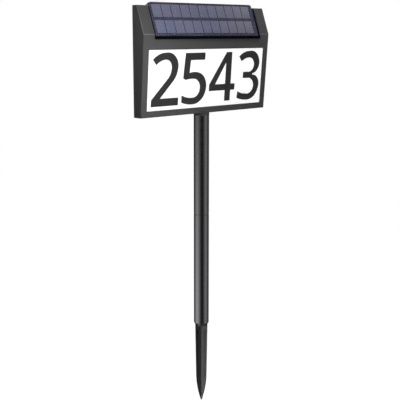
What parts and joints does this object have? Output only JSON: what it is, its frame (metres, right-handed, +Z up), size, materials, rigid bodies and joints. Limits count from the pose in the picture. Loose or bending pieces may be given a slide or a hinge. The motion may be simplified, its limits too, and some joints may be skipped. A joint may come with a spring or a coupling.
{
  "type": "solar house number sign",
  "caption": "Solar house number sign: wedge casing with a lit opal window, raised digits, a solar panel on its slope and a rear power button, on a two-part pole with a ground spike.",
  "frame": {"origin": "axis of the pole where its lower end meets the ground", "axes": "+Z up along the pole, +X to the right as the sign is read, +Y back, away from the reader"},
  "size_m": [0.3, 0.041, 0.7311],
  "materials": {
    "casing_plastic": "fine grained matt",
    "black_rubber": "matt",
    "foam_tape": "matt foam",
    "screw_steel": "zinc plated",
    "opal_acrylic": "satin opal, lit from behind",
    "digit_film": "satin",
    "white_plastic": "satin",
    "white_circuit_board": "solder mask",
    "led_package": "clear phosphor",
    "black_plastic": "satin",
    "laminate_back": "satin",
    "silicon_cell": "satin blue grey",
    "clear_epoxy": "clear gloss",
    "green_circuit_board": "solder mask",
    "component_black": "moulded epoxy",
    "connector_nylon": "satin nylon",
    "button_rubber": "soft matt",
    "cell_sleeve": "shrink sleeve",
    "contact_nickel": "nickel plated",
    "lead_insulation": "satin",
    "pole_coating": "semi-gloss powder coat",
    "stake_plastic": "satin"
  },
  "bodies": {
    "spike": {"ground_spike": "stake_plastic"},
    "lower_pole": {"lower_pole": "pole_coating", "spike_socket": "stake_plastic"},
    "coupler": {"pole_coupler": "stake_plastic"},
    "upper_pole": {"upper_pole": "pole_coating", "pole_cap": "stake_plastic"},
    "sign_head": {"front_housing": "casing_plastic", "rear_cover": "casing_plastic", "stake_bracket": "casing_plastic", "cover_seal": "black_rubber", "window_gasket": "black_rubber", "button_seal": "black_rubber", "panel_grommet": "black_rubber", "panel_gasket": "foam_tape", "cover_screws": "screw_steel", "tray_screws": "screw_steel", "board_screws": "screw_steel", "bracket_screws": "screw_steel", "diffuser": "opal_acrylic", "digit_2": "digit_film", "digit_5": "digit_film", "digit_4": "digit_film", "digit_3": "digit_film", "light_tray": "white_plastic", "led_board": "white_circuit_board", "leds": "led_package", "panel_frame": "black_plastic", "solar_laminate": "laminate_back", "solar_cells": "silicon_cell", "panel_glaze": "clear_epoxy", "control_board": "green_circuit_board", "board_chips": "component_black", "board_connectors": "connector_nylon", "lead_plugs": "connector_nylon", "switch_body": "component_black", "battery_holder": "black_plastic", "battery_cell": "cell_sleeve", "battery_contacts": "contact_nickel", "battery_spring": "contact_nickel", "solar_leads": "lead_insulation", "battery_leads": "lead_insulation", "strip_leads": "lead_insulation"},
    "button": {"power_button": "button_rubber", "switch_plunger": "connector_nylon"}
  },
  "joints": [
    {"name": "pole_pull", "type": "slide", "parent": "spike", "child": "lower_pole", "axis": [0, 0, 1], "range_m": [0, 0.04]},
    {"name": "coupler_pull", "type": "slide", "parent": "lower_pole", "child": "coupler", "axis": [0, 0, 1], "range_m": [0, 0.036]},
    {"name": "pole_turn", "type": "hinge", "parent": "coupler", "child": "upper_pole", "pos_m": [0, 0, 0.2125], "axis": [0, 0, 1], "continuous": true},
    {"name": "head_lift", "type": "slide", "parent": "upper_pole", "child": "sign_head", "axis": [0, 0, 1], "range_m": [0, 0.05]},
    {"name": "button_press", "type": "slide", "parent": "sign_head", "child": "button", "axis": [0, -1, 0], "range_m": [0, 0.001], "stiffness_N_per_m": 800, "springref_m": -0.001}
  ]
}
